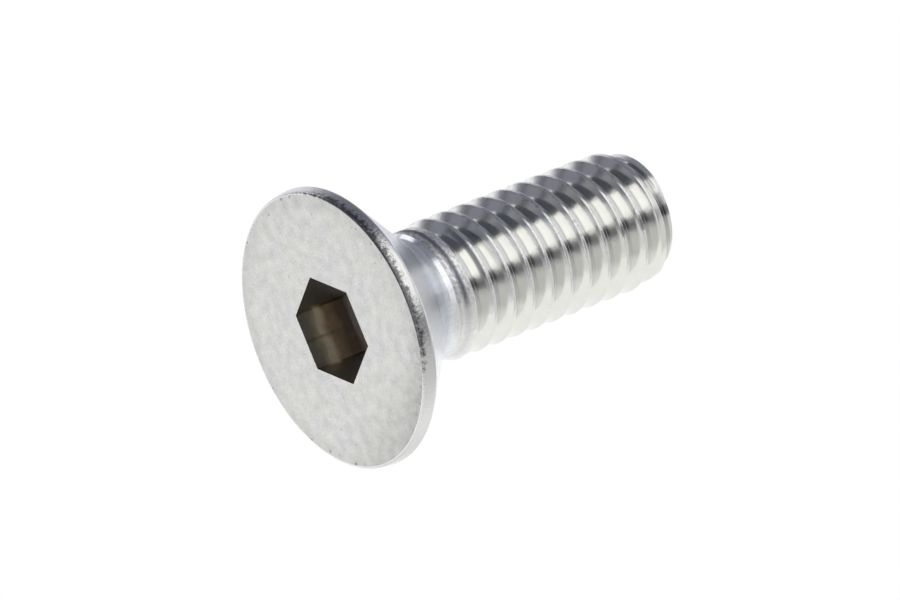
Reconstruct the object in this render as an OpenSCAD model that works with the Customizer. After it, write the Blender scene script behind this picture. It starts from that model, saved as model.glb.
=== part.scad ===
// Countersunk hexagon socket screw, M6 x 16, stainless steel, cold-forged with a rolled thread.
// The screw stands on its flat head face: Z = 0 is the face, +Z runs along the axis to the point.

/* [Head] */
// Diameter of the head where the rim land meets the cone
head_d = 11.84; // [11.34:0.05:11.99]
// Height of the rim land between the face and the cone
land_h = 0.56; // [0.4:0.02:0.8]
// How much smaller the radius of the forged rim land is at the face
land_draft = 0.08; // [0:0.01:0.1]
// Rounding of the edge between the face and the rim land
face_edge_r = 0.12; // [0.05:0.01:0.2]
// Rounding of the edge between the rim land and the cone
rim_edge_r = 0.15; // [0.05:0.01:0.3]
// Included angle of the countersunk cone, degrees
cone_angle = 90; // [88:1:92]

/* [Socket] */
// Width of the hexagon across its flats
socket_af = 4.02; // [3.5:0.01:4.1]
// Depth of the hexagon, from the face to the foot of its walls
socket_depth = 2.4; // [2:0.05:2.5]
// Included angle of the shallow cone that the punch leaves in the floor, degrees
floor_angle = 150; // [140:5:170]

/* [Neck] */
// Diameter of the plain neck, the blank that the thread is rolled from
neck_d = 5.2; // [5.1:0.05:5.3]
// Radius of the fillet between the cone and the neck
neck_fillet_r = 0.55; // [0.3:0.05:0.6]

/* [Thread] */
// Overall length, from the head face to the point
length = 15.92; // [9.92:1:19.92]
// Crest diameter of the thread
thread_d = 5.82; // [5.8:0.01:5.97]
// Pitch of the right-hand thread
pitch = 1; // [0.75:0.25:1]
// Radius of the rounded thread root
root_r = 0.15; // [0.12:0.01:0.17]
// Height above the face at which a crest passes the +X side
crest_height = 5.33; // [5.2:0.01:5.4]

/* [Run-out] */
// Height at which the neck steps up to the rolled thread
shoulder_z = 4.2; // [4.16:0.01:4.26]
// Angle of that step to the axis, degrees
shoulder_angle = 32; // [26:1:45]
// Diameter of the plain band that the step leads up to
band_d = 5.44; // [5.4:0.02:5.52]
// Height of the crest's middle where it starts to rise from the band
crest_z = 4.77; // [4.74:0.01:4.84]
// Climb of the helix over which the crest rises to its full diameter
crest_rise = 0.2; // [0.1:0.02:0.3]
// Height of the groove's middle where it starts to bite
groove_z = 4.3; // [4.25:0.05:4.4]
// Length over which the groove grows to its full depth
runout_len = 1; // [0.8:0.1:1.2]

/* [Point] */
// Length over which the last crests get lower, up to the flat end
taper_len = 1.62; // [1.2:0.02:2]
// Radius of the arc that their tops follow there
taper_r = 3.5; // [3:0.1:6]
// How far past the flat end, along the helix, the last crest gives out
crest_end = 0.1; // [-0.2:0.01:0.2]
// Climb of the helix over which it gives out
crest_fall = 0.06; // [0.04:0.02:0.3]
// Diameter of the point where the last crest has given out
tail_d = 4.88; // [4.8:0.02:5]
// Diameter of the flat end across the last crest
point_d = 5.16; // [4.8:0.02:5.2]
// Angle of the point's chamfer to the axis, degrees
point_angle = 30; // [26:1:45]

/* [Hidden] */

turn_steps = 48;     // flats in one turn of the thread
smooth = 96;         // facets of the round forms
fine = 24;           // facets of a full circle in the section's small roundings
overlap = 0.16;      // how far a form runs on inside or outside another, where the two are joined or cut
eps = 0.01;

flank_angle = 30;    // half of the 60 degree metric thread form
crest_share = 1 / 8; // width of a crest, as a share of the pitch
root_arc = [-60, -20, 20, 60];

head_r = head_d / 2;
neck_r = neck_d / 2;
band_r = band_d / 2;
crest_r = thread_d / 2;
tail_r = tail_d / 2;
point_r = point_d / 2;
cone_half = cone_angle / 2;
neck_z = land_h + (head_r - neck_r) / tan(cone_half);
land_angle = atan(land_draft / land_h);

// Section of the full groove: straight flanks that run tangent into a round root
groove_half = pitch * (1 - crest_share) / 2;
groove_depth = groove_half / tan(flank_angle) - root_r / sin(flank_angle) + root_r;
// Half width of the root's arc, and how much higher its ends lie than its middle
arc_half = root_r * sin(root_arc[3]);
arc_rise = root_r * (1 - cos(root_arc[3]));
form_n = len(root_arc) + 2;

// The threaded core starts inside the head and ends past the point. Its turns are whole.
core_turns = ceil((length + overlap - (shoulder_z - pitch)) / pitch);
core_z = length + overlap - core_turns * pitch;
core_steps = core_turns * turn_steps;
core_start = 360 * (core_z - crest_height - pitch / 2) / pitch;

// A smooth step from 0 to 1 as t goes from 0 to 1
function ease(t) = let (c = min(max(t, 0), 1)) c * c * (3 - 2 * c);

// Share of the full depth that a groove has reached, by the height of its middle
function groove_at(middle) = ease((middle - groove_z) / runout_len);

// Radius of the groove's bottom, from the plain band down to the full depth
function root_at(middle) = band_r + (crest_r - groove_depth - band_r) * groove_at(middle);

// Radius of a crest, by its height: the plain band at first, then the full size. Near the end it
// gets lower, where the blank's point was too small to fill the die, and then gives out.
function crest_at(z) =
    let (
        full = band_r + (crest_r - band_r) * ease((z - crest_z) / crest_rise),
        tapered = full - pow(min(max(z - length + taper_len, 0), taper_len), 2) / (2 * taper_r)
    ) tapered + (tail_r - tapered) * ease((z - length - crest_end) / crest_fall);

// One point of the core: step counts flats along the helix. The first and last points of a
// groove are its edges, on the crests below and above it, and the others follow the root's arc.
function core_point(step, i) =
    let (
        turn = core_start + 360 * step / turn_steps,
        middle = core_z + pitch * step / turn_steps,
        share = groove_at(middle),
        below = crest_at(middle - pitch / 2),
        above = crest_at(middle + pitch / 2),
        root = root_at(middle),
        flank_foot = root + share * arc_rise,
        edge = i == 0 ? below : above,
        edge_w = arc_half + max(eps, (edge - flank_foot) * tan(flank_angle)),
        a = root_arc[i - 1],
        p = i == 0 ? [-edge_w, below]
            : i == form_n - 1 ? [edge_w, above]
            : [root_r * sin(a), root + share * root_r * (1 - cos(a))]
    ) [p[1] * cos(turn), p[1] * sin(turn), middle + p[0]];

// The helical grid of the thread, closed by a fan at each end
module threaded_core() {
    columns = core_steps + turn_steps + 1;
    points = concat(
        [for (s = [0 : columns - 1]) for (i = [0 : form_n - 1]) core_point(s, i)],
        [[0, 0, core_z + pitch / 2], [0, 0, core_z + pitch * (core_turns + 1 / 2)]]
    );
    low = len(points) - 2;
    high = len(points) - 1;
    // The crest between two grooves joins a column to the one a full turn further on
    function at(s, i) = i < form_n ? s * form_n + i : (s + turn_steps) * form_n + i - form_n;
    // The open edge at an end of the helix: once round, then back over the step of one pitch
    function rim(first) = concat(
        [for (s = [0 : turn_steps]) at(first + s, 0)],
        [for (i = [form_n - 1 : -1 : 1]) at(first, i)]
    );
    bottom = rim(0);
    top = rim(core_steps);
    faces = concat(
        [for (s = [0 : core_steps - 1]) for (i = [0 : form_n - 1])
            [at(s, i), at(s, i + 1), at(s + 1, i + 1)]],
        [for (s = [0 : core_steps - 1]) for (i = [0 : form_n - 1])
            [at(s, i), at(s + 1, i + 1), at(s + 1, i)]],
        [for (k = [0 : len(bottom) - 1])
            [low, bottom[k], bottom[(k + 1) % len(bottom)]]],
        [for (k = [0 : len(top) - 1])
            [high, top[(k + 1) % len(top)], top[k]]]
    );
    polyhedron(points = points, faces = faces);
}

// The space that the core may fill: inside the neck, then out over the shoulder's step, up past
// the crests, and in again over the point's chamfer to the flat end
module core_space() {
    room = crest_r + eps;
    inside = neck_r - overlap;
    chamfer_h = (room - point_r) / tan(point_angle);
    rotate_extrude($fn = smooth)
        polygon([
            [0, neck_z],
            [inside, neck_z],
            [inside, shoulder_z - overlap / tan(shoulder_angle)],
            [room, shoulder_z + (room - neck_r) / tan(shoulder_angle)],
            [room, length - chamfer_h],
            [point_r, length],
            [0, length]
        ]);
}

// What lies between a sharp corner at the origin and the arc that rounds it. One side of the
// corner runs down -Y, and the other has turned from +Y towards -X by the given angle.
module corner(r, turn) {
    touch = r * tan(turn / 2);
    difference() {
        polygon([
            [0, -touch],
            [eps, -touch],
            [eps, eps * tan(turn / 2)],
            [eps * cos(turn) - touch * sin(turn), eps * sin(turn) + touch * cos(turn)],
            [-touch * sin(turn), touch * cos(turn)]
        ]);
        translate([-r, -touch]) circle(r, $fn = fine);
    }
}

// Half section of the head and neck
module head_section() {
    neck_top = shoulder_z + eps;
    difference() {
        polygon([
            [0, 0],
            [head_r - land_draft, 0],
            [head_r, land_h],
            [neck_r, neck_z],
            [neck_r, neck_top],
            [0, neck_top]
        ]);
        translate([head_r - land_draft, 0])
            mirror([0, 1]) rotate(land_angle) corner(face_edge_r, 90 - land_angle);
        translate([head_r, land_h]) rotate(-land_angle) corner(rim_edge_r, cone_half + land_angle);
    }
    translate([neck_r, neck_z]) rotate(180) corner(neck_fillet_r, cone_half);
}

module head_and_neck() {
    rotate_extrude($fn = smooth) head_section();
}

// The hexagon, with corners on the X axis, and its shallow conical floor
module socket() {
    sides = 6;
    flat_r = socket_af / 2;
    translate([0, 0, -overlap])
        linear_extrude(socket_depth + overlap) circle(flat_r / cos(180 / sides), $fn = sides);
    translate([0, 0, socket_depth - eps])
        cylinder(h = flat_r / tan(floor_angle / 2), r1 = flat_r, r2 = 0, $fn = smooth);
}

module screw() {
    color("silver")
    difference() {
        union() {
            head_and_neck();
            intersection() {
                threaded_core();
                core_space();
            }
        }
        socket();
    }
}

screw();
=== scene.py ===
"""Looks of a countersunk hexagon socket screw: one forged, tumbled and thread-rolled piece of
stainless steel. The screw stands on its flat head face, with its point along +Z."""

import math

import bpy
import numpy as np
from mathutils import Matrix, Vector


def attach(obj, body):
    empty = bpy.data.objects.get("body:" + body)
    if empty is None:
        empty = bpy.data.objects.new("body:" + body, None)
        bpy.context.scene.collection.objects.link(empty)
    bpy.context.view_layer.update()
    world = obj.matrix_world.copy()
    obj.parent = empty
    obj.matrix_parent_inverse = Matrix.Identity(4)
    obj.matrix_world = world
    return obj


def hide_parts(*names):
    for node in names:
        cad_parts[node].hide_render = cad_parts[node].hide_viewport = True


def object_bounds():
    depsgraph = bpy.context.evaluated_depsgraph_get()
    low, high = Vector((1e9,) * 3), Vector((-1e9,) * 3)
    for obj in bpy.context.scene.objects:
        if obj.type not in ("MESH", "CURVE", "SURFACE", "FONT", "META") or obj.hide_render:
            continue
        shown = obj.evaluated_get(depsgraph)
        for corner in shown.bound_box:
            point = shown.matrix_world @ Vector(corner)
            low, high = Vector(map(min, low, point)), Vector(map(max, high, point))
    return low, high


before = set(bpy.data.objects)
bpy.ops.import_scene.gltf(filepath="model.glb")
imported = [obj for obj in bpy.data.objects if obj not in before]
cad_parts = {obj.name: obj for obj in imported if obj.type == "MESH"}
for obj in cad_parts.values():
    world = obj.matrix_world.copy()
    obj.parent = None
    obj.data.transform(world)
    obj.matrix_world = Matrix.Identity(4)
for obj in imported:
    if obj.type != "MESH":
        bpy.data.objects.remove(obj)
cad_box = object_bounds()

MM = 0.001

# ---------------------------------------------------------------- sizes, in millimetres
LENGTH = (cad_box[1].z - cad_box[0].z) / MM
LAND_H, LAND_DRAFT, FACE_EDGE_R, RIM_EDGE_R = 0.56, 0.08, 0.12, 0.15
DRAFT = math.atan(LAND_DRAFT / LAND_H)
RIM_TOUCH = RIM_EDGE_R * math.tan((math.pi / 4 + DRAFT) / 2)
RIM_INSET = RIM_TOUCH * math.sin(DRAFT) + RIM_EDGE_R * math.cos(DRAFT)
# The head's largest radius lies on the rounding, a little inside the corner that HEAD_R is
HEAD_R = (cad_box[1].x - cad_box[0].x) / 2 / MM + RIM_INSET - RIM_EDGE_R
FACE_R = HEAD_R - LAND_DRAFT - FACE_EDGE_R * math.tan((math.pi / 2 - DRAFT) / 2)
SOCKET_AF, SOCKET_DEPTH, FLOOR_ANGLE = 4.02, 2.4, 150
SOCKET_CORNER = SOCKET_AF / 2 / math.cos(math.radians(30))
NECK_R, FILLET_R = 2.6, 0.55
CREST_R, PITCH, ROOT_R, CREST_HEIGHT = 2.91, 1.0, 0.13, 5.33
CREST_CORNER = 0.05
FLANK = math.radians(32.7)  # the rolled flanks bulge a little from the nominal 30 degrees
SHOULDER_Z, SHOULDER_ANGLE, BAND_R = 4.2, math.radians(32), 2.72
CREST_Z, CREST_RISE, GROOVE_Z, RUNOUT = 4.77, 0.2, 4.3, 1.0
TAPER_LEN, TAPER_R = 1.62, 3.5
CREST_END, CREST_FALL, TAIL_R = 0.1, 0.06, 2.44
POINT_R, POINT_ANGLE = 2.58, math.radians(30)
NECK_Z = LAND_H + HEAD_R - NECK_R  # where the 45 degree cone would meet the neck
# The thread's groove between its crests, and the radius of its bottom
GROOVE_HALF = PITCH * 7 / 16
GROOVE_DEPTH = GROOVE_HALF / math.tan(FLANK) - ROOT_R / math.sin(FLANK) + ROOT_R
ROOT_BOTTOM = CREST_R - GROOVE_DEPTH

OVERLAP = 0.16  # how far the threaded core runs on inside the neck
RUN_PAST = 0.2  # how far it runs on past the point, before it is cut there
CLEARANCE = 0.02  # room round the full crests, and the least width of a flank
EPS = 0.01  # a hair of overlap or of room
FACE_RINGS = (2.6, 4.2)  # radii of two rings across the face, which keep its triangles short
ROUND_STEPS = 240  # sides of the round forms
TURN_STEPS = 144  # sections in one turn of the thread
EDGE_STEPS, FILLET_STEPS, LAND_STEPS, CONE_STEPS = 8, 10, 6, 24  # along the head's half section
CORNER_POINTS, ROOT_POINTS = 5, 9  # in the groove's section

# Where one finish ends and the next one starts: heights, but RUNOUT_LIFT counts from the crest
FLAT = 1e-4
SOCKET_END = 3.2
RIM_END = LAND_H + 0.05
CONE_END = SHOULDER_Z + 0.17
RUNOUT_END, RUNOUT_LIFT = 5.12, 0.07


# ---------------------------------------------------------------- mesh helpers
def solid(name, points, faces):
    """A mesh object from points in millimetres."""
    mesh = bpy.data.meshes.new(name)
    mesh.from_pydata([tuple(p) for p in points], [], [tuple(f) for f in faces])
    mesh.update()
    obj = bpy.data.objects.new(name, mesh)
    bpy.context.scene.collection.objects.link(obj)
    return obj


def to_metres(obj):
    obj.data.transform(Matrix.Scale(MM, 4))


def ring_quads(rings, n):
    """The quads between rings of n points each."""
    return [
        (i * n + j, i * n + (j + 1) % n, (i + 1) * n + (j + 1) % n, (i + 1) * n + j)
        for i in range(rings - 1)
        for j in range(n)
    ]


def end_fans(rings, n):
    """The triangles from the first ring and the last one to the two points listed after them."""
    foot, last = rings * n, (rings - 1) * n
    fans = [(foot, (j + 1) % n, j) for j in range(n)]
    return fans + [(foot + 1, last + j, last + (j + 1) % n) for j in range(n)]


def revolve(name, profile, steps=ROUND_STEPS):
    """A closed solid turned from a half section of (radius, height) points, axis to axis."""
    inner = profile[1:-1]
    turns = np.arange(steps) * 2 * math.pi / steps
    points = [(r * math.cos(t), r * math.sin(t), z) for r, z in inner for t in turns]
    points += [(0, 0, profile[0][1]), (0, 0, profile[-1][1])]
    return solid(name, points, ring_quads(len(inner), steps) + end_fans(len(inner), steps))


def arc(cx, cz, r, start, end, count):
    """Points of an arc in the half section, from one angle to another in degrees."""
    angles = np.radians(np.linspace(start, end, count + 1))
    return [(cx + r * math.cos(a), cz + r * math.sin(a)) for a in angles]


def line(a, b, count):
    """Points between two points of the half section, without the ends."""
    return [tuple(np.array(a) + (np.array(b) - np.array(a)) * k / count) for k in range(1, count)]


def ease(t):
    """A smooth step from 0 to 1 as t goes from 0 to 1."""
    t = min(max(t, 0.0), 1.0)
    return t * t * (3 - 2 * t)


def combine(obj, other, operation):
    """Replaces obj's mesh by its union, difference or intersection with other."""
    m = obj.modifiers.new("combine", "BOOLEAN")
    m.operation, m.object, m.solver = operation, other, "MANIFOLD"
    graph = bpy.context.evaluated_depsgraph_get()
    made = bpy.data.meshes.new_from_object(obj.evaluated_get(graph))
    obj.modifiers.remove(m)
    obj.data = made
    bpy.data.objects.remove(other)
    return obj


# ---------------------------------------------------------------- the screw's form
def head_and_neck():
    """The face, the rim land, the cone and the neck, which ends just inside the thread's core."""
    lean = math.degrees(DRAFT)
    face_edge = arc(FACE_R, FACE_EDGE_R, FACE_EDGE_R, -90, -lean, EDGE_STEPS)
    rim_z = LAND_H - RIM_TOUCH * math.cos(DRAFT) + RIM_EDGE_R * math.sin(DRAFT)
    rim_edge = arc(HEAD_R - RIM_INSET, rim_z, RIM_EDGE_R, -lean, 45, EDGE_STEPS)
    touch = FILLET_R * math.tan(math.radians(22.5))
    fillet = arc(NECK_R + FILLET_R, NECK_Z + touch, FILLET_R, 225, 180, FILLET_STEPS)
    top = SHOULDER_Z + EPS
    profile = [(r, 0) for r in (0, *FACE_RINGS)]
    profile += face_edge + line(face_edge[-1], rim_edge[0], LAND_STEPS)
    profile += rim_edge + line(rim_edge[-1], fillet[0], CONE_STEPS)
    profile += fillet + [(NECK_R, top), (0, top)]
    return revolve("head", profile)


def groove_at(middle):
    """Share of the full depth that a groove has reached, by the height of its middle."""
    return ease((middle - GROOVE_Z) / RUNOUT)


def crest_at(z):
    """Radius of a crest, by its height: it rises from the band, tapers and gives out."""
    full = BAND_R + (CREST_R - BAND_R) * ease((z - CREST_Z) / CREST_RISE)
    full -= min(max(z - LENGTH + TAPER_LEN, 0.0), TAPER_LEN) ** 2 / (2 * TAPER_R)
    return full + (TAIL_R - full) * ease((z - LENGTH - CREST_END) / CREST_FALL)


def groove_section(middle):
    """Section of the groove at one place on the helix: (height from its middle, radius) points,
    from the crest below it to the middle of the crest above it."""
    share = groove_at(middle)
    below, above = crest_at(middle - PITCH / 2), crest_at(middle + PITCH / 2)
    root = BAND_R + (ROOT_BOTTOM - BAND_R) * share
    foot_w = ROOT_R * math.cos(FLANK)
    foot = root + share * ROOT_R * (1 - math.sin(FLANK))
    corner = CREST_CORNER * min(1.0, 0.25 + share)
    sweep = math.pi / 2 - FLANK  # how far the crest's corner and each half of the root turn

    def edge(level):
        """The crest's rounded corner, from the flat down to the flank."""
        half = foot_w + max(CLEARANCE, (level - foot) * math.tan(FLANK))
        size = min(corner, 0.4 * (level - foot) + 0.004)  # smaller on a flank that is still low
        reach = half + size * math.tan(sweep / 2)
        return [
            (reach - size * math.sin(a), level - size * (1 - math.cos(a)))
            for a in np.linspace(0, sweep, CORNER_POINTS)
        ]

    def flank(level):
        """Two points near the ends of the straight flank, which keep its shading flat."""
        end_w, end_r = edge(level)[-1]
        return [(foot_w + (end_w - foot_w) * k, foot + (end_r - foot) * k) for k in (0.93, 0.05)]

    left = [(-w, r) for w, r in edge(below) + flank(below)]
    bottom = [
        (ROOT_R * math.sin(a), root + share * ROOT_R * (1 - math.cos(a)))
        for a in np.linspace(-sweep, sweep, ROOT_POINTS)
    ]
    right = (edge(above) + flank(above))[::-1]
    return left + bottom + right + [(PITCH / 2, above)]


def threaded_core():
    """The rolled thread as a closed helical grid, from inside the neck to past the point."""
    past = LENGTH + RUN_PAST
    turns = math.ceil((past - (SHOULDER_Z - PITCH)) / PITCH)
    start = past - turns * PITCH
    steps = turns * TURN_STEPS
    points = []
    for s in range(steps + TURN_STEPS + 1):
        middle = start + PITCH * s / TURN_STEPS
        turn = 2 * math.pi * ((start - CREST_HEIGHT - PITCH / 2) / PITCH + s / TURN_STEPS)
        section = groove_section(middle)
        points += [(r * math.cos(turn), r * math.sin(turn), middle + w) for w, r in section]
    rows = len(section)
    low, high = len(points), len(points) + 1
    points += [(0, 0, start + PITCH / 2), (0, 0, start + PITCH * (turns + 0.5))]

    def at(s, i):
        """Number of a grid point. The crest joins a section to the one a full turn further on."""
        return s * rows + i if i < rows else (s + TURN_STEPS) * rows + i - rows

    def rim(first):
        """The open edge at an end: once round, then back over the step of one pitch."""
        return [at(first + s, 0) for s in range(TURN_STEPS + 1)] + [
            at(first, i) for i in range(rows - 1, 0, -1)
        ]

    faces = [
        (at(s, i), at(s, i + 1), at(s + 1, i + 1), at(s + 1, i))
        for s in range(steps)
        for i in range(rows)
    ]
    bottom, top = rim(0), rim(steps)
    for k in range(len(bottom)):
        n = (k + 1) % len(bottom)
        faces.append((low, bottom[k], bottom[n]))
        faces.append((high, top[n], top[k]))
    return solid("core", points, [f[::-1] for f in faces])  # turned to face outwards


def core_space():
    """What the core may fill: out over the shoulder's step, up, and in over the chamfer."""
    room, inside = CREST_R + CLEARANCE, NECK_R - OVERLAP
    slope = math.tan(SHOULDER_ANGLE)
    profile = [
        (0, NECK_Z),
        (inside, NECK_Z),
        (inside, SHOULDER_Z - OVERLAP / slope),
        (room, SHOULDER_Z + (room - NECK_R) / slope),
        (room, LENGTH - (room - POINT_R) / math.tan(POINT_ANGLE)),
        (POINT_R, LENGTH),
        (0, LENGTH),
    ]
    return revolve("space", profile)


def socket_space():
    """The hexagon, with corners on the X axis, and its shallow conical floor."""
    ring = [
        (SOCKET_CORNER * math.cos(a), SOCKET_CORNER * math.sin(a))
        for a in np.radians(np.arange(6) * 60)
    ]
    points = [(x, y, z) for z in (-1, SOCKET_DEPTH) for x, y in ring]
    faces = [tuple(range(5, -1, -1)), tuple(range(6, 12))] + ring_quads(2, 6)
    hexagon = solid("hexagon", points, faces)
    flat, start = SOCKET_AF / 2, SOCKET_DEPTH - 0.3
    tip = SOCKET_DEPTH + flat / math.tan(math.radians(FLOOR_ANGLE / 2))
    cone = revolve("floor", [(0, start), (flat, start), (flat, SOCKET_DEPTH), (0, tip)], 96)
    return combine(hexagon, cone, "UNION")


screw = combine(threaded_core(), core_space(), "INTERSECT")
screw = combine(screw, head_and_neck(), "UNION")
screw = combine(screw, socket_space(), "DIFFERENCE")
screw.name = screw.data.name = "screw_body"
to_metres(screw)


# ---------------------------------------------------------------- materials
class Nodes:
    """A short way to write the node tree of a steel surface."""

    SECTOR = 60  # degrees that a sector mask can reach, either way

    def __init__(self, name):
        self.material = bpy.data.materials.new(name)
        self.material.use_nodes = True
        self.tree = self.material.node_tree
        self.shader = self.tree.nodes["Principled BSDF"]
        coords = self.tree.nodes.new("ShaderNodeTexCoord")
        self.position = self.scaled(coords.outputs["Object"], (1 / MM, 1 / MM, 1 / MM))

    def feed(self, socket, value):
        """Gives a socket a number, a colour or another node's output."""
        if isinstance(value, tuple):
            socket.default_value = (*value, 1)
        elif isinstance(value, (int, float)):
            socket.default_value = value
        else:
            self.tree.links.new(value, socket)

    def scaled(self, vector, factors):
        node = self.tree.nodes.new("ShaderNodeVectorMath")
        node.operation = "MULTIPLY"
        node.inputs[1].default_value = factors
        self.feed(node.inputs[0], vector)
        return node.outputs[0]

    def noise(self, scale, detail=3.0, rough=0.5, stretch=None, warp=0.0):
        """Noise with features of about 1/scale millimetres."""
        node = self.tree.nodes.new("ShaderNodeTexNoise")
        node.inputs["Scale"].default_value = scale
        node.inputs["Detail"].default_value = detail
        node.inputs["Roughness"].default_value = rough
        node.inputs["Distortion"].default_value = warp
        source = self.scaled(self.position, stretch) if stretch else self.position
        self.feed(node.inputs["Vector"], source)
        return node.outputs["Fac"]

    def ramp(self, fac, stops):
        """A colour ramp from (position, colour or grey) stops."""
        node = self.tree.nodes.new("ShaderNodeValToRGB")
        elements = node.color_ramp.elements
        while len(elements) < len(stops):
            elements.new(0.5)
        for e, (at, c) in zip(elements, stops):
            e.position = at
            e.color = (*c, 1) if isinstance(c, tuple) else (c, c, c, 1)
        self.feed(node.inputs["Fac"], fac)
        return node.outputs["Color"]

    def math(self, operation, a, b):
        node = self.tree.nodes.new("ShaderNodeMath")
        node.operation = operation
        self.feed(node.inputs[0], a)
        self.feed(node.inputs[1], b)
        return node.outputs[0]

    def axis(self, name):
        """One coordinate, in millimetres."""
        node = self.tree.nodes.new("ShaderNodeSeparateXYZ")
        self.feed(node.inputs[0], self.position)
        return node.outputs[name]

    def across(self, x, y):
        """Distance from the axis in the level direction (x, y), in millimetres."""
        return self.math("ADD", self.math("MULTIPLY", self.axis("X"), x),
                         self.math("MULTIPLY", self.axis("Y"), y))

    def radius(self):
        """Distance from the screw's axis, in millimetres."""
        node = self.tree.nodes.new("ShaderNodeVectorMath")
        node.operation = "LENGTH"
        self.feed(node.inputs[0], self.scaled(self.position, (1, 1, 0)))
        return node.outputs["Value"]

    def lift(self):
        """Height above the middle of the first crest, along the helix, in millimetres."""
        turn = self.math("ARCTAN2", self.axis("Y"), self.axis("X"))
        climb = self.math("MULTIPLY", turn, PITCH / (2 * math.pi))
        return self.math("SUBTRACT", self.math("SUBTRACT", self.axis("Z"), climb), CREST_HEIGHT)

    def mask(self, measure, whole, *stops):
        """A mask from (measure, value) stops, which lie between 0 and the whole."""
        share = self.math("DIVIDE", measure, whole)
        return self.ramp(share, [(at / whole, value) for at, value in stops])

    def by_radius(self, *stops):
        """A mask from (distance from the axis in millimetres, value) stops."""
        return self.mask(self.radius(), HEAD_R, *stops)

    def by_height(self, *stops):
        """A mask from (height in millimetres, value) stops."""
        return self.mask(self.axis("Z"), LENGTH, *stops)

    def sector(self, *stops, ragged=0.0):
        """A mask from (degrees round the axis from the -Y side, value) stops."""
        side = self.math("ARCTAN2", self.axis("X"), self.math("MULTIPLY", self.axis("Y"), -1))
        turn = self.math("MULTIPLY", side, math.degrees(1) / (2 * self.SECTOR))
        turn = self.math("ADD", turn, 0.5)
        if ragged:
            shift = self.math("SUBTRACT", self.noise(4, 3), 0.5)
            turn = self.math("ADD", turn, self.math("MULTIPLY", shift, ragged / self.SECTOR))
        return self.ramp(turn, [((a + self.SECTOR) / (2 * self.SECTOR), v) for a, v in stops])

    def all_of(self, *masks):
        """The product of masks."""
        product = masks[0]
        for mask in masks[1:]:
            product = self.math("MULTIPLY", product, mask)
        return product

    def mix(self, a, b, fac):
        """From colour a to colour b, by the factor."""
        node = self.tree.nodes.new("ShaderNodeMix")
        node.data_type = "RGBA"
        for k, value in ((0, fac), (6, a), (7, b)):  # the factor and the two colours
            self.feed(node.inputs[k], value)
        return node.outputs[2]

    def bump(self, height, distance):
        """Relief of the given height in millimetres."""
        node = self.tree.nodes.new("ShaderNodeBump")
        node.inputs["Distance"].default_value = distance * MM
        node.inputs["Strength"].default_value = 1.0
        self.feed(node.inputs["Height"], height)
        return node.outputs["Normal"]

    def finish(self, color, roughness, normal):
        """The finished material, a bare metal."""
        self.shader.inputs["Metallic"].default_value = 1.0
        for name, value in (("Base Color", color), ("Roughness", roughness), ("Normal", normal)):
            self.feed(self.shader.inputs[name], value)
        # The finished material, a metal with no coat.
        return self.material


def face_material():
    """Tumbled satin, with fine pits, grime along the edge on one side, and painted shade towards
    the edge and one side.
    """
    n = Nodes("face_tumbled")
    grime_and_shade_grey = (0.4, 0.4, 0.39)
    mottle = n.noise(0.7, 4, 0.6, warp=0.8)
    color = n.ramp(mottle, [(0.35, (0.655, 0.66, 0.67)), (0.62, (0.69, 0.69, 0.67))])
    grain = n.noise(11, 4, 0.7)
    color = n.mix(color, (0.42, 0.42, 0.41), n.ramp(grain, [(0.48, 0.0), (0.74, 0.5)]))
    color = n.mix(color, (0.86, 0.86, 0.86), n.ramp(grain, [(0.3, 0.4), (0.45, 0.0)]))
    rubbed = n.by_radius((0.86 * HEAD_R, 0.0), (0.96 * HEAD_R, 0.09))
    pits = n.ramp(n.math("ADD", n.noise(3.1, 2, 0.5), rubbed), [(0.73, 0.0), (0.78, 0.75)])
    color = n.mix(color, (0.2, 0.2, 0.2), pits)
    grime = n.all_of(
        n.mask(n.across(0.67, -0.74), HEAD_R, (0.78 * HEAD_R, 0.0), (0.92 * HEAD_R, 1.0)),
        n.ramp(n.noise(4, 4, 0.7), [(0.4, 0.1), (0.62, 0.75)]),
    )
    color = n.mix(color, grime_and_shade_grey, grime)
    # Painted shade: it is darker towards the edge, and most of all towards one side
    edge = n.by_radius((0.84 * HEAD_R, 0.0), (0.93 * HEAD_R, 0.2))
    side = n.mask(n.across(0.95, -0.31), HEAD_R, (0.56 * HEAD_R, 0.0), (0.88 * HEAD_R, 0.42))
    color = n.mix(color, grime_and_shade_grey, n.math("MAXIMUM", edge, side))
    rough = n.ramp(n.noise(2.2, 3), [(0.3, 0.42), (0.7, 0.55)])
    return n.finish(color, rough, n.bump(grain, 0.005))


def rim_material():
    """The forged land, with dark speckles on the -Y side and a painted highlight: a near-white
    strip on the +X side.
    """
    n = Nodes("rim_speckled")
    worn = n.math("ADD", n.axis("Z"), n.math("MULTIPLY", n.noise(5, 4, 0.65), 1.1))
    side = n.math("MULTIPLY", n.across(0.34, 0.94), -1 / HEAD_R)
    clean = n.ramp(side, [(0.45, 0.5), (0.80, 0.0)])
    color = n.ramp(n.math("ADD", worn, clean),
                   [(0.64, (0.16, 0.16, 0.17)), (0.86, (0.64, 0.64, 0.65))])
    share = n.math("DIVIDE", n.axis("X"), HEAD_R)
    # Painted highlight: a near-white strip on the +X side
    highlight_strip = n.ramp(share, [(0.4, 0.0), (0.62, 0.85), (0.85, 0.5), (0.97, 0.0)])
    color = n.mix(color, (0.95, 0.95, 0.95), n.all_of(highlight_strip, clean))
    return n.finish(color, 0.24, n.bump(n.noise(8, 3, 0.6), 0.016))


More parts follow.
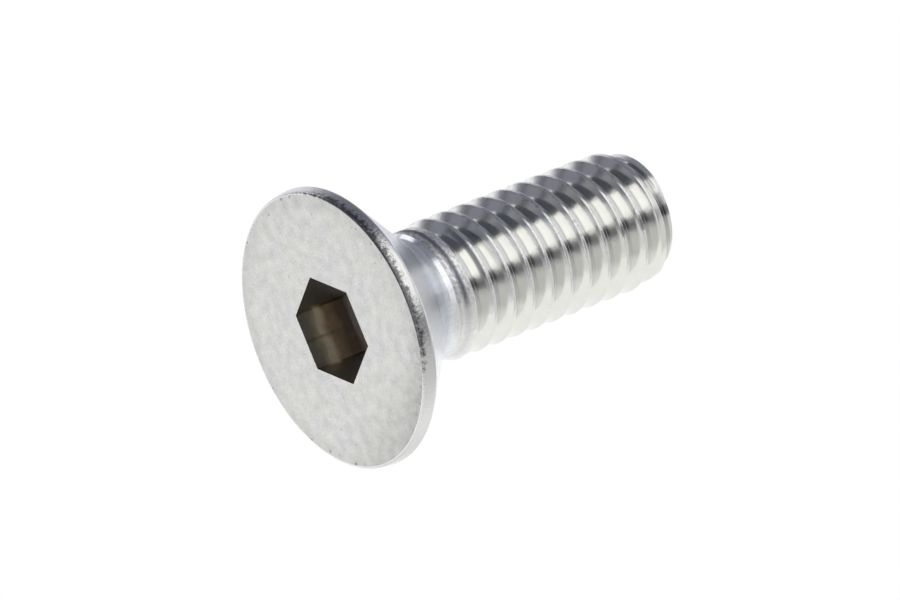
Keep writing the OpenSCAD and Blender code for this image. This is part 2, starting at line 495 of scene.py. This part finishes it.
def cone_material():
    """Satin on the cone and the neck, brighter on the step up to the thread."""
    n = Nodes("cone_satin")
    drawn = n.noise(4, 3, 0.6, stretch=(1, 1, 0.3))
    color = n.ramp(drawn, [(0.35, (0.73, 0.75, 0.80)), (0.65, (0.83, 0.85, 0.895))])
    # Painted shade: a darker band on the neck, just below the step
    step_shade = n.all_of(n.sector((-40, 0), (-30, 0.5), (-16, 0.6), (-7, 0)),
                    n.by_height((3.96, 0), (4.07, 1), (4.16, 1), (4.2, 0)))
    color = n.mix(color, (0.38, 0.4, 0.44), step_shade)
    rough = n.mask(n.radius(), 5, (2.7, 0.42), (3.7, 0.25))
    step = n.mask(n.axis("Z"), SHOULDER_Z, (4.137, 0), (4.179, 1))
    rough = n.mix(rough, (0.2, 0.2, 0.2), step)
    return n.finish(color, rough, n.bump(n.noise(7, 3, 0.5), 0.005))


def runout_material():
    """The rough band between the step and the first crest, mottled on the camera's side."""
    n = Nodes("runout_rough")
    mottled = n.ramp(n.noise(6, 3), [(0.38, (0.55, 0.55, 0.57)), (0.6, (0.88, 0.88, 0.89))])
    near = n.mask(n.axis("X"), 3, (0.78, 0.95), (1.26, 0.15))
    color = n.mix((0.80, 0.80, 0.80), mottled, near)
    # Painted shade: a dark, uneven line at the foot of the first crest, 0.75 mm down from the
    # crest's middle
    place = n.math("ADD", n.lift(), n.math("MULTIPLY", n.noise(5, 3, 0.6), 0.1))
    crest_foot_shade = n.ramp(n.math("ADD", place, 0.75), [(0.42, 0.0), (0.48, 1.0), (0.52, 1.0), (0.58, 0.0)])
    color = n.mix(color, (0.24, 0.24, 0.26), n.all_of(crest_foot_shade, near))
    return n.finish(color, 0.36, n.bump(n.noise(9, 4, 0.6), 0.012))


def thread_material():
    """The rolled thread: bright, with painted shade in the roots, nicks, and dark lines of painted
    shade.
    """
    n = Nodes("thread_rolled")
    color = n.ramp(n.noise(1.5, 2), [(0.3, (0.78, 0.78, 0.77)), (0.7, (0.82, 0.82, 0.80))])
    # Painted shade: darker down in the roots
    root_shade = n.by_radius((ROOT_BOTTOM + 0.015, 1), (ROOT_BOTTOM + 0.1, 0))
    color = n.mix(color, (0.55, 0.55, 0.56), root_shade)
    nicks = n.all_of(
        n.ramp(n.noise(9, 3, 0.6), [(0.5, 0.0), (0.64, 0.6)]),
        n.by_radius((CREST_R - 0.08, 0), (CREST_R - 0.07, 1)),
        n.sector((8, 1), (28, 0.3)),
    )
    color = n.mix(color, (0.46, 0.46, 0.48), nicks)
    # Dark lines of painted shade, on the -Y side: down in the grooves, along the first flanks
    # under the crest, along the last crests, just past the last one, and on the last flank
    for shade_line in (
        n.all_of(n.sector((1, 0), (6, 0.75), (11, 0.75), (16, 0)),
                 n.by_radius((ROOT_BOTTOM + 0.05, 1), (ROOT_BOTTOM + 0.2, 0))),
        n.all_of(n.sector((-50, 0), (-40, 0.8), (-12, 1), (2, 0.9), (9, 0)),
                 n.by_radius((2.65, 0), (2.72, 1), (2.84, 1), (2.88, 0)),
                 n.by_height((5.3, 0), (5.5, 0.8), (6.05, 0.8), (6.3, 0.05), (7.6, 0.05))),
        n.all_of(n.sector((4, 0), (8, 1), (14, 1), (18, 0), ragged=4),
                 n.by_radius((2.82, 0), (2.86, 1)),
                 n.by_height((11.5, 0), (13, 0.6), (15.2, 0.6), (15.5, 0))),
        n.all_of(n.sector((-32, 0), (-25, 0.55), (-18, 0.55), (-12, 0), ragged=6),
                 n.by_height((15.0, 0), (15.1, 1), (15.3, 1), (15.4, 0))),
        n.all_of(n.sector((-13, 0), (-8, 0.5), (-3, 1), (10, 1), (15, 0), ragged=8),
                 n.by_height((15.44, 0), (15.57, 0.85), (15.71, 0.85), (15.86, 0.2))),
    ):
        color = n.mix(color, (0.14, 0.14, 0.15), shade_line)
    return n.finish(color, 0.15, n.bump(n.noise(3.5, 3, 0.5), 0.004))


def socket_material():
    """The punched walls: the far one brown with oil, with a painted highlight 1 mm down and
    painted shade deeper in; the others darker, with painted shade.
    """
    n = Nodes("socket_dark")
    streaks = n.noise(1.6, 2, 0.5, stretch=(1, 1, 1.6))
    depth = n.math("ADD", n.math("MULTIPLY", n.axis("Z"), 0.3), n.math("MULTIPLY", streaks, 0.2))
    # Down the far wall: brown oil, a painted highlight about 1 mm down, and painted shade deeper
    # in
    color = n.ramp(depth, [
        (0.20, (0.38, 0.36, 0.30)),
        (0.33, (0.68, 0.60, 0.40)),
        (0.37, (0.98, 0.88, 0.64)),
        (0.41, (0.96, 0.82, 0.60)),
        (0.50, (0.44, 0.31, 0.19)),
        (0.60, (0.33, 0.24, 0.15)),
        (0.70, (0.18, 0.13, 0.09)),
        (0.80, (0.15, 0.115, 0.09)),
    ])
    # A darker line down the middle of the wall
    share = n.math("ADD", n.math("DIVIDE", n.axis("X"), 3), 0.5)
    middle = n.ramp(share, [(0.46, 0.0), (0.495, 0.45), (0.505, 0.45), (0.54, 0.0)])
    color = n.mix(color, (0.16, 0.13, 0.09), middle)
    # The other walls are plain and darker with painted shade, and the floor is greyer
    far_wall = n.mask(n.axis("Y"), SOCKET_AF, (0.44 * SOCKET_AF, 0), (0.49 * SOCKET_AF, 1))
    color = n.mix((0.40, 0.38, 0.34), color, far_wall)
    bottom = n.mask(n.axis("Z"), 2 * SOCKET_DEPTH, (0.998 * SOCKET_DEPTH, 0),
                    (1.002 * SOCKET_DEPTH, 1))
    color = n.mix(color, (0.44, 0.45, 0.50), bottom)
    return n.finish(color, 0.36, n.bump(streaks, 0.006))


def point_material():
    """The sheared and flattened end."""
    n = Nodes("point_plain")
    grain = n.noise(6, 4)
    color = n.ramp(grain, [(0.3, (0.52, 0.52, 0.51)), (0.7, (0.66, 0.66, 0.65))])
    return n.finish(color, 0.35, n.bump(grain, 0.01))


MATERIALS = (face_material, rim_material, cone_material, runout_material,
             thread_material, socket_material, point_material)


def finish_of(center, normal):
    """The material of one polygon, by its place in millimetres and where it faces."""
    r, z = math.hypot(center.x, center.y), center.z
    if r < SOCKET_CORNER + EPS and FLAT < z < SOCKET_END:
        return socket_material
    if z < FLAT:
        return face_material
    if r > HEAD_R - LAND_DRAFT - FACE_EDGE_R and z < RIM_END:
        return rim_material
    if z < CONE_END:
        return cone_material
    lift = z - CREST_HEIGHT - PITCH * math.atan2(center.y, center.x) / (2 * math.pi)
    if lift < RUNOUT_LIFT and z < RUNOUT_END:
        return runout_material
    return point_material if normal.z > 0.99 else thread_material


screw.data.materials.clear()
for make in MATERIALS:
    screw.data.materials.append(make())
for polygon in screw.data.polygons:
    made_by = finish_of(polygon.center / MM, polygon.normal)
    polygon.material_index = MATERIALS.index(made_by)
screw.data.shade_smooth()
screw.data.set_sharp_from_angle(angle=math.radians(25))

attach(screw, "root")
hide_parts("screw")


# ---------------------------------------------------------------- studio
CAMERA_AZIMUTH = -88.31  # degrees from +X, where the camera stands


def toward(azimuth, elevation):
    """Unit vector to a place in the studio. Azimuth is counted from the camera's side."""
    a, e = math.radians(CAMERA_AZIMUTH + azimuth), math.radians(elevation)
    return Vector((math.cos(a) * math.cos(e), math.sin(a) * math.cos(e), math.sin(e)))


# What stands round the screw: (azimuths, elevations, softness of the edges, lean, tone), each one
# in front of those before it. Tones are linear, and 1 is as bright as the white background.
# Azimuths are counted from the camera, and lean is how many degrees a side moves per degree up.
ALL_ROUND = (-400, 400)
PANELS = {
    "white_room": (ALL_ROUND, (-200, 200), 10, 0, (1.15, 1.15, 1.13)),
    "floor_side": (ALL_ROUND, (-200, -24), 14, 0, (1.3, 1.3, 1.28)),
    "key_side": ((-52, 60), (-60, 60), 10, 0, (0.93, 0.93, 0.92)),
    "key_foot": ((-64, 60), (-20, -5), 8, 0, (0.68, 0.68, 0.67)),
    "key_low": ((-52, 2), (-46, -24), 8, 0, (1.35, 1.35, 1.33)),
    "key": ((-49, 60), (-4, 24), 8, 0, (1.5, 1.5, 1.45)),
    "far_right": ((60, 152), (-66, 200), 20, 0, (1.0, 1.0, 0.97)),
    "right_wall": ((27, 82), (-66, 200), 20, 0, (0.74, 0.74, 0.715)),
    "ceiling": (ALL_ROUND, (56, 200), 16, 0, (0.40, 0.42, 0.50)),
    "top_light": (ALL_ROUND, (70, 200), 12, 0, (1.6, 1.6, 1.58)),
    "left_wall": ((-150, -50), (-70, 62), 12, 0, (0.235, 0.24, 0.285)),
    "left_wall_top": ((-220, -124), (14, 80), 36, 0, (0.8, 0.8, 0.84)),
    "left_glow": ((-220, -134), (-22, 30), 12, 0, (1.1, 1.1, 1.12)),
    "left_seam": ((-150, -122), (-34, -29), 4, 0, (0.15, 0.15, 0.17)),
    "left_gap": ((-110, -102), (-56, -47), 4, 0, (0.085, 0.09, 0.10)),
    "left_strip": ((-128, -99), (-14, 4), 6, 0, (1.3, 1.3, 1.3)),
    "left_flag": ((-100, -49), (-12, 17), 7, 0, (0.07, 0.08, 0.095)),
    "middle_flag_top": ((7, 28), (0, 60), 18, 0.05, (0.44, 0.44, 0.45)),
    "middle_flag": ((10, 32), (-14, 26), 19, 0.05, (0.16, 0.16, 0.17)),
    "middle_flag_low": ((12, 50), (-20, -8), 10, 0, (0.27, 0.27, 0.28)),
    "middle_flag_foot": ((8, 28), (-16, 2), 12, 0, (0.08, 0.08, 0.085)),
    "under": (ALL_ROUND, (-200, -58), 12, 0, (0.5, 0.5, 0.49)),
    "under_right": ((32, 170), (-200, -58), 12, 0, (0.78, 0.78, 0.76)),
    "under_left": ((-170, -38), (-200, -58), 12, 0, (0.22, 0.22, 0.24)),
}


def tone_at(azimuth, elevation):
    """What the steel sees in one direction of the studio."""
    tone = np.zeros(3)
    for azimuths, elevations, soft, lean, color in PANELS.values():
        across = azimuth + lean * elevation
        cover = 1.0
        for at, (low, high) in ((across, azimuths), (elevation, elevations)):
            cover *= ease((at - low) / soft + 0.5) * ease((high - at) / soft + 0.5)
        tone = tone + (np.array(color) - tone) * cover
    return tone


def empty_material(name):
    """A material's node tree with nothing in it but the output, and that output's surface."""
    material = bpy.data.materials.new(name)
    material.use_nodes = True
    tree = material.node_tree
    tree.nodes.clear()
    out = tree.nodes.new("ShaderNodeOutputMaterial")
    return material, tree, out.inputs["Surface"]


def studio(distance=300, step=2):
    """A shell round the screw that gives off the panels' tones. The camera looks through it."""
    azimuths = np.arange(-180, 180, step)
    elevations = np.arange(-90 + step, 90, step)
    centre = Vector((0, 0, LENGTH / 2))
    grid = [(a, e) for e in elevations for a in azimuths] + [(0, -90), (0, 90)]
    points = [centre + toward(a, e) * distance for a, e in grid]
    n, rings = len(azimuths), len(elevations)
    obj = solid("studio", points, ring_quads(rings, n) + end_fans(rings, n))
    tones = obj.data.color_attributes.new("tone", "FLOAT_COLOR", "POINT")
    for k, (a, e) in enumerate(grid):
        tones.data[k].color = (*tone_at(a, e), 1)
    to_metres(obj)
    material, tree, surface = empty_material("studio")
    emission = tree.nodes.new("ShaderNodeEmission")
    read = tree.nodes.new("ShaderNodeAttribute")
    read.attribute_name = "tone"
    tree.links.new(read.outputs["Color"], emission.inputs["Color"])
    tree.links.new(emission.outputs[0], surface)
    obj.data.materials.append(material)
    obj.visible_camera = False


studio()

world = bpy.data.worlds.new("studio")
world.use_nodes = True
world.node_tree.nodes["Background"].inputs["Color"].default_value = (1, 1, 1, 1)
world.node_tree.nodes["Background"].inputs["Strength"].default_value = 1.0
bpy.context.scene.world = world


def floor(steps=96, fade_from=60, fade_to=230):
    """A pale table top that fades into the backdrop. It is seen only from above."""
    turns = np.radians(np.arange(steps) * 360 / steps)
    radii = [FACE_R + EPS, 7, 9, 14, 22, 40, 90, 250]
    points = [(r * math.cos(a), r * math.sin(a), 0) for r in radii for a in turns]
    faces = [f[::-1] for f in ring_quads(len(radii), steps)]  # turned to face upwards
    obj = solid("table_top", points, faces)
    to_metres(obj)
    material, tree, surface = empty_material("table_top")
    geometry = tree.nodes.new("ShaderNodeNewGeometry")
    diffuse = tree.nodes.new("ShaderNodeBsdfDiffuse")
    diffuse.inputs["Color"].default_value = (0.9, 0.9, 0.9, 1)
    clear = tree.nodes.new("ShaderNodeBsdfTransparent")
    either = tree.nodes.new("ShaderNodeMixShader")
    coords = tree.nodes.new("ShaderNodeTexCoord")
    distance = tree.nodes.new("ShaderNodeVectorMath")
    distance.operation = "LENGTH"
    fade = tree.nodes.new("ShaderNodeMapRange")
    fade.interpolation_type = "SMOOTHSTEP"
    fade.inputs["From Min"].default_value = fade_from * MM
    fade.inputs["From Max"].default_value = fade_to * MM
    hidden = tree.nodes.new("ShaderNodeMath")
    hidden.operation = "MAXIMUM"
    for source, socket in (
        (coords.outputs["Object"], distance.inputs[0]),
        (distance.outputs["Value"], fade.inputs["Value"]),
        (fade.outputs[0], hidden.inputs[0]),
        (geometry.outputs["Backfacing"], hidden.inputs[1]),
        (hidden.outputs[0], either.inputs[0]),
        (diffuse.outputs[0], either.inputs[1]),
        (clear.outputs[0], either.inputs[2]),
        (either.outputs[0], surface),
    ):
        tree.links.new(source, socket)
    obj.data.materials.append(material)
    obj.visible_glossy = False
    obj.visible_shadow = False


floor()

# ---------------------------------------------------------------- camera
# It stands far off, below the level of the face and in front of the screw's -Y side
lens = bpy.data.cameras.new("camera")
lens.sensor_width = 36
lens.lens = 480
lens.clip_start, lens.clip_end = 0.01, 10
camera = bpy.data.objects.new("camera", lens)
camera.location = Vector((12.401, -401.232, -267.239)) * MM
camera.rotation_euler = [math.radians(a) for a in (151.9525, -50.4011, -53.6490)]
bpy.context.scene.collection.objects.link(camera)
bpy.context.scene.camera = camera

bpy.context.scene.view_settings.view_transform = "Standard"
